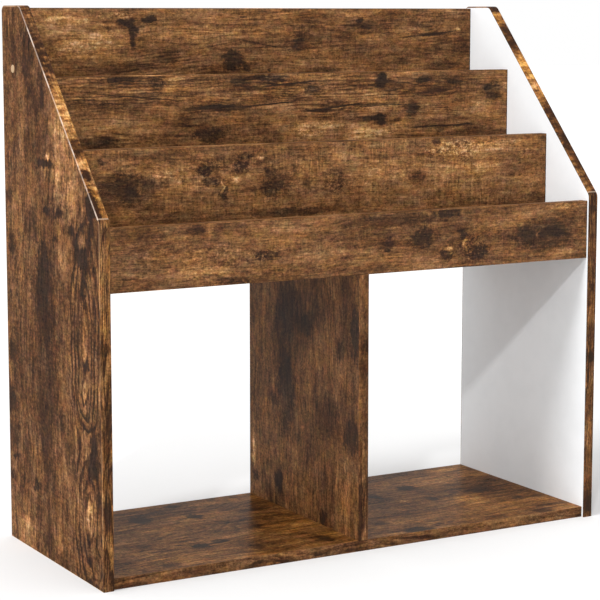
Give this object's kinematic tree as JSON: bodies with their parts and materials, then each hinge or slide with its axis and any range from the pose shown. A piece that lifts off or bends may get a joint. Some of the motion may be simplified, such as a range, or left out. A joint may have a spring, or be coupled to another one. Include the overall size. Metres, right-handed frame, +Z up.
{
  "type": "kids bookcase",
  "caption": "Free-standing kids bookcase: stepped book rows that show the covers, over open cubes for boxes, between sloping side panels.",
  "frame": {"origin": "middle of the foot: centre of the box at floor level", "axes": "+X along the width to the right seen from the front, +Y to the rear, +Z up"},
  "size_m": [0.7816, 0.32, 0.7425],
  "materials": {
    "oak_panel": "smoked rustic oak decor with upright grain on particle board, plain white inner face on the side panels, satin",
    "oak_shelf": "smoked rustic oak decor on particle board, grain along the width, satin",
    "oak_row_board": "smoked rustic oak decor on particle board, grain along the width, satin",
    "oak_band": "smoked rustic oak edge band, satin",
    "cam_zinc": "die-cast zinc, dull",
    "bolt_steel": "zinc-plated steel, satin",
    "dowel_beech": "bare beech",
    "plug_plastic": "light brown, satin"
  },
  "bodies": {
    "root": {"left_side_panel": "oak_panel", "left_front_edge_band": "oak_band", "left_slope_edge_band": "oak_band", "left_rear_edge_band": "oak_band", "right_side_panel": "oak_panel", "right_front_edge_band": "oak_band", "right_slope_edge_band": "oak_band", "right_rear_edge_band": "oak_band", "bottom_shelf": "oak_shelf", "bottom_shelf_edge_bands": "oak_band", "middle_shelf": "oak_shelf", "middle_shelf_edge_band": "oak_band", "centre_divider": "oak_panel", "divider_edge_bands": "oak_band", "front_board": "oak_row_board", "front_board_edge_bands": "oak_band", "second_row_board": "oak_row_board", "second_row_board_edge_band": "oak_band", "second_row_floor": "oak_shelf", "second_row_floor_edge_band": "oak_band", "third_row_board": "oak_row_board", "third_row_board_edge_band": "oak_band", "third_row_floor": "oak_shelf", "third_row_floor_edge_band": "oak_band", "back_board": "oak_row_board", "back_board_edge_band": "oak_band", "cam_locks": "cam_zinc", "cam_bolts": "bolt_steel", "panel_dowels": "dowel_beech", "row_dowels": "dowel_beech", "divider_dowels": "dowel_beech", "divider_screws": "bolt_steel", "cover_plugs": "plug_plastic"}
  },
  "joints": []
}
